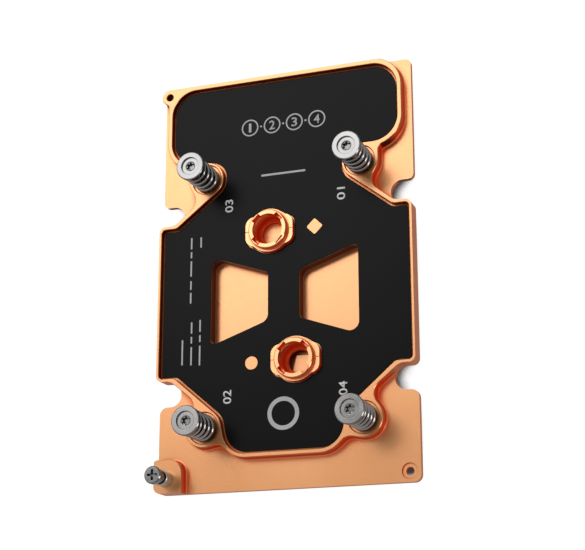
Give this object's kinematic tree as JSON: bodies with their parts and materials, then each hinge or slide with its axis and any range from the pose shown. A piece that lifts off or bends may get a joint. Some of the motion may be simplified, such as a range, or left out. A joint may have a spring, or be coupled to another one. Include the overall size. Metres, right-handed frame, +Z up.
{
  "type": "liquid cooling cold plate",
  "caption": "Flat copper cold plate with a raised manifold housing, black face sheet, round coolant ports, tapered windows and spring-loaded captive mounting screws.",
  "frame": {"origin": "middle of the plate's rectangular footprint, on the contact face that rests on the chip", "axes": "+X across the plate, +Y along it towards the end with the raised ear, +Z up through the screw heads"},
  "size_m": [0.102, 0.162, 0.028],
  "materials": {
    "copper": "machined copper, satin",
    "label": "matte black sheet",
    "screw_steel": "nickel plated steel, satin",
    "spring_steel": "bright drawn spring wire"
  },
  "bodies": {
    "plate": {"lid": "copper", "base_plate": "copper", "manifold_cover": "copper", "face_label": "label", "inlet_port": "copper", "outlet_port": "copper", "corner_ferrule": "screw_steel"},
    "ring_1": {"retaining_ring_1": "spring_steel", "captive_spring_1": "spring_steel"},
    "ring_2": {"retaining_ring_2": "spring_steel", "captive_spring_2": "spring_steel"},
    "ring_3": {"retaining_ring_3": "spring_steel", "captive_spring_3": "spring_steel"},
    "ring_4": {"retaining_ring_4": "spring_steel", "captive_spring_4": "spring_steel"},
    "screw_1": {"captive_screw_1": "screw_steel"},
    "screw_2": {"captive_screw_2": "screw_steel"},
    "screw_3": {"captive_screw_3": "screw_steel"},
    "screw_4": {"captive_screw_4": "screw_steel"},
    "corner_ring": {"corner_retaining_ring": "spring_steel", "corner_spring": "spring_steel"},
    "corner_stud": {"corner_screw": "screw_steel"}
  },
  "joints": [
    {"name": "press_1", "type": "slide", "parent": "plate", "child": "ring_1", "axis": [0, 0, 1], "range_m": [-0.006, 0], "stiffness_N_per_m": 3000, "springref_m": 0.003, "deforming": ["captive_spring_1"]},
    {"name": "press_2", "type": "slide", "parent": "plate", "child": "ring_2", "axis": [0, 0, 1], "range_m": [-0.006, 0], "stiffness_N_per_m": 3000, "springref_m": 0.003, "deforming": ["captive_spring_2"]},
    {"name": "press_3", "type": "slide", "parent": "plate", "child": "ring_3", "axis": [0, 0, 1], "range_m": [-0.006, 0], "stiffness_N_per_m": 3000, "springref_m": 0.003, "deforming": ["captive_spring_3"]},
    {"name": "press_4", "type": "slide", "parent": "plate", "child": "ring_4", "axis": [0, 0, 1], "range_m": [-0.006, 0], "stiffness_N_per_m": 3000, "springref_m": 0.003, "deforming": ["captive_spring_4"]},
    {"name": "spin_1", "type": "hinge", "parent": "ring_1", "child": "screw_1", "pos_m": [0.0312, 0.0407, 0], "axis": [0, 0, 1], "continuous": true},
    {"name": "spin_2", "type": "hinge", "parent": "ring_2", "child": "screw_2", "pos_m": [-0.0312, -0.0574, 0], "axis": [0, 0, 1], "continuous": true},
    {"name": "spin_3", "type": "hinge", "parent": "ring_3", "child": "screw_3", "pos_m": [-0.0312, 0.0407, 0], "axis": [0, 0, 1], "continuous": true},
    {"name": "spin_4", "type": "hinge", "parent": "ring_4", "child": "screw_4", "pos_m": [0.0312, -0.0574, 0], "axis": [0, 0, 1], "continuous": true},
    {"name": "press_corner", "type": "slide", "parent": "plate", "child": "corner_ring", "axis": [0, 0, 1], "range_m": [-0.0024, 0], "stiffness_N_per_m": 1000, "springref_m": 0.002, "deforming": ["corner_spring"]},
    {"name": "spin_corner", "type": "hinge", "parent": "corner_ring", "child": "corner_stud", "pos_m": [-0.0462, -0.0756, 0], "axis": [0, 0, 1], "continuous": true}
  ]
}
